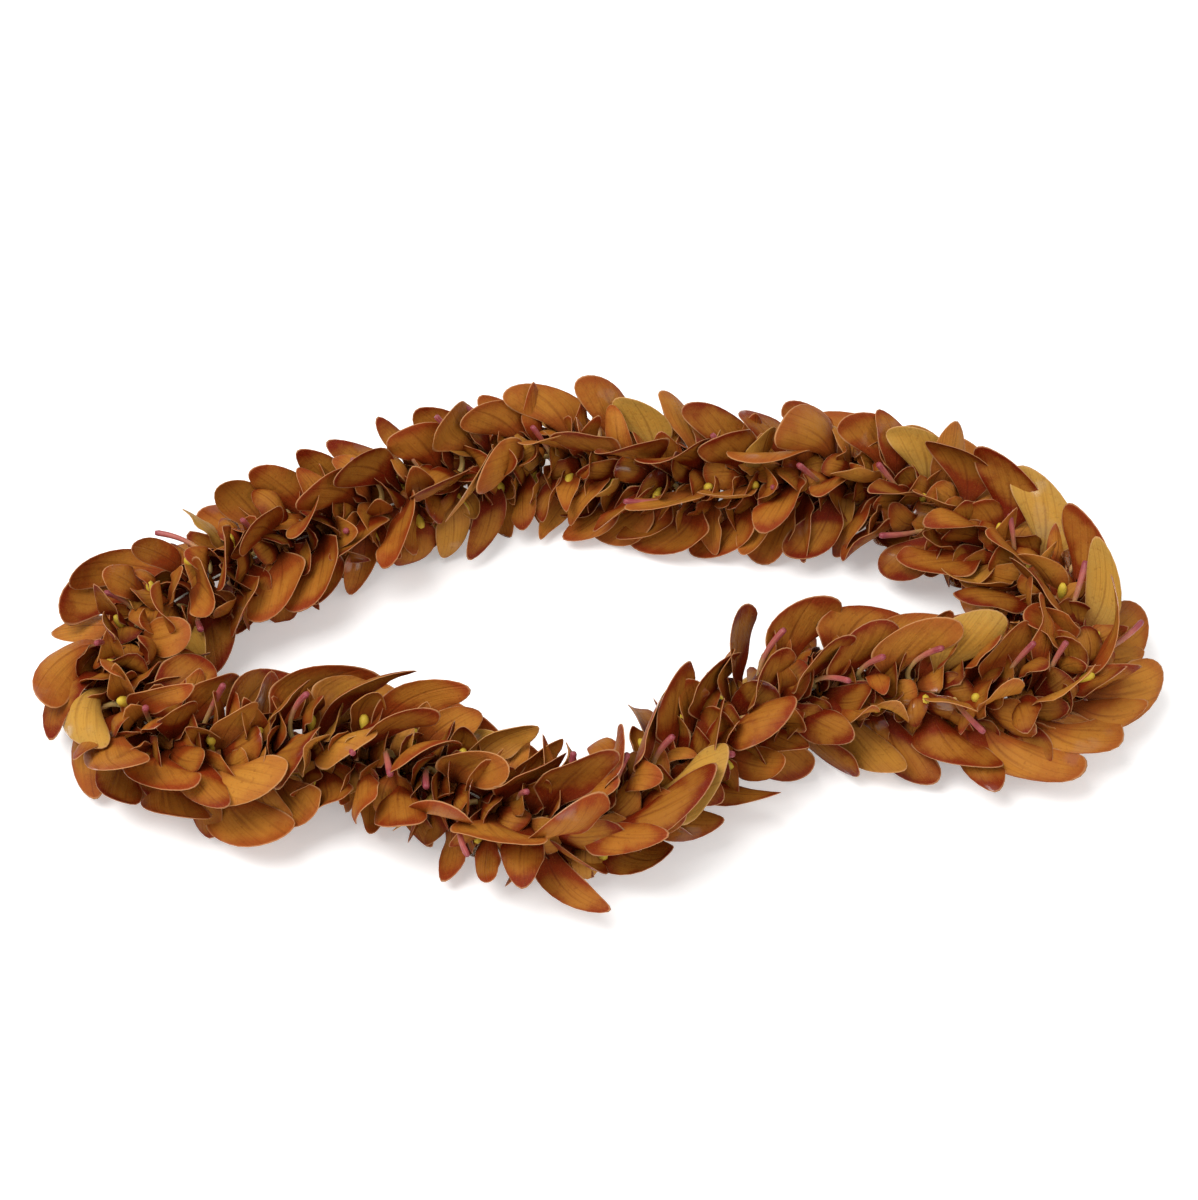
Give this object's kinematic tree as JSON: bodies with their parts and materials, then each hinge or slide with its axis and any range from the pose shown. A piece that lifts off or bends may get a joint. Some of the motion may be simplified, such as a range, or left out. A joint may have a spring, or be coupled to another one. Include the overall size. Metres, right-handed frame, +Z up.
{
  "type": "flower lei",
  "caption": "Open loop garland of orchid blooms strung close together on a knotted cotton thread, laid down flat on a table.",
  "frame": {"origin": "middle of the loop's outline, on the table that the lei lies on", "axes": "+X along the loop's length towards its right-hand end, +Y across it to the back, +Z up off the table"},
  "size_m": [0.4372, 0.2524, 0.0607],
  "materials": {
    "petals": "fresh waxy orchid petal, burnt orange, soft satin sheen",
    "thread": "plain twisted cotton"
  },
  "bodies": {
    "root": {"thread": "thread", "bloom_pair_01": "petals", "bloom_pair_02": "petals", "bloom_pair_03": "petals", "bloom_pair_04": "petals", "bloom_pair_05": "petals", "bloom_pair_06": "petals", "bloom_pair_07": "petals", "bloom_pair_08": "petals", "bloom_pair_09": "petals", "bloom_pair_10": "petals", "bloom_pair_11": "petals", "bloom_pair_12": "petals", "bloom_pair_13": "petals", "bloom_pair_14": "petals", "bloom_pair_15": "petals", "bloom_pair_16": "petals", "bloom_pair_17": "petals", "bloom_pair_18": "petals", "bloom_pair_19": "petals", "bloom_pair_20": "petals", "bloom_pair_21": "petals", "bloom_pair_22": "petals", "bloom_pair_23": "petals", "bloom_pair_24": "petals", "bloom_pair_25": "petals", "bloom_pair_26": "petals", "bloom_pair_27": "petals", "bloom_pair_28": "petals", "bloom_pair_29": "petals", "bloom_pair_30": "petals", "bloom_pair_31": "petals", "bloom_pair_32": "petals", "bloom_pair_33": "petals", "bloom_pair_34": "petals", "bloom_pair_35": "petals", "bloom_pair_36": "petals", "bloom_pair_37": "petals", "bloom_pair_38": "petals", "bloom_pair_39": "petals", "bloom_pair_40": "petals", "bloom_pair_41": "petals", "bloom_pair_42": "petals", "bloom_pair_43": "petals", "bloom_pair_44": "petals", "bloom_pair_45": "petals", "bloom_pair_46": "petals", "bloom_pair_47": "petals", "bloom_pair_48": "petals"}
  },
  "joints": []
}
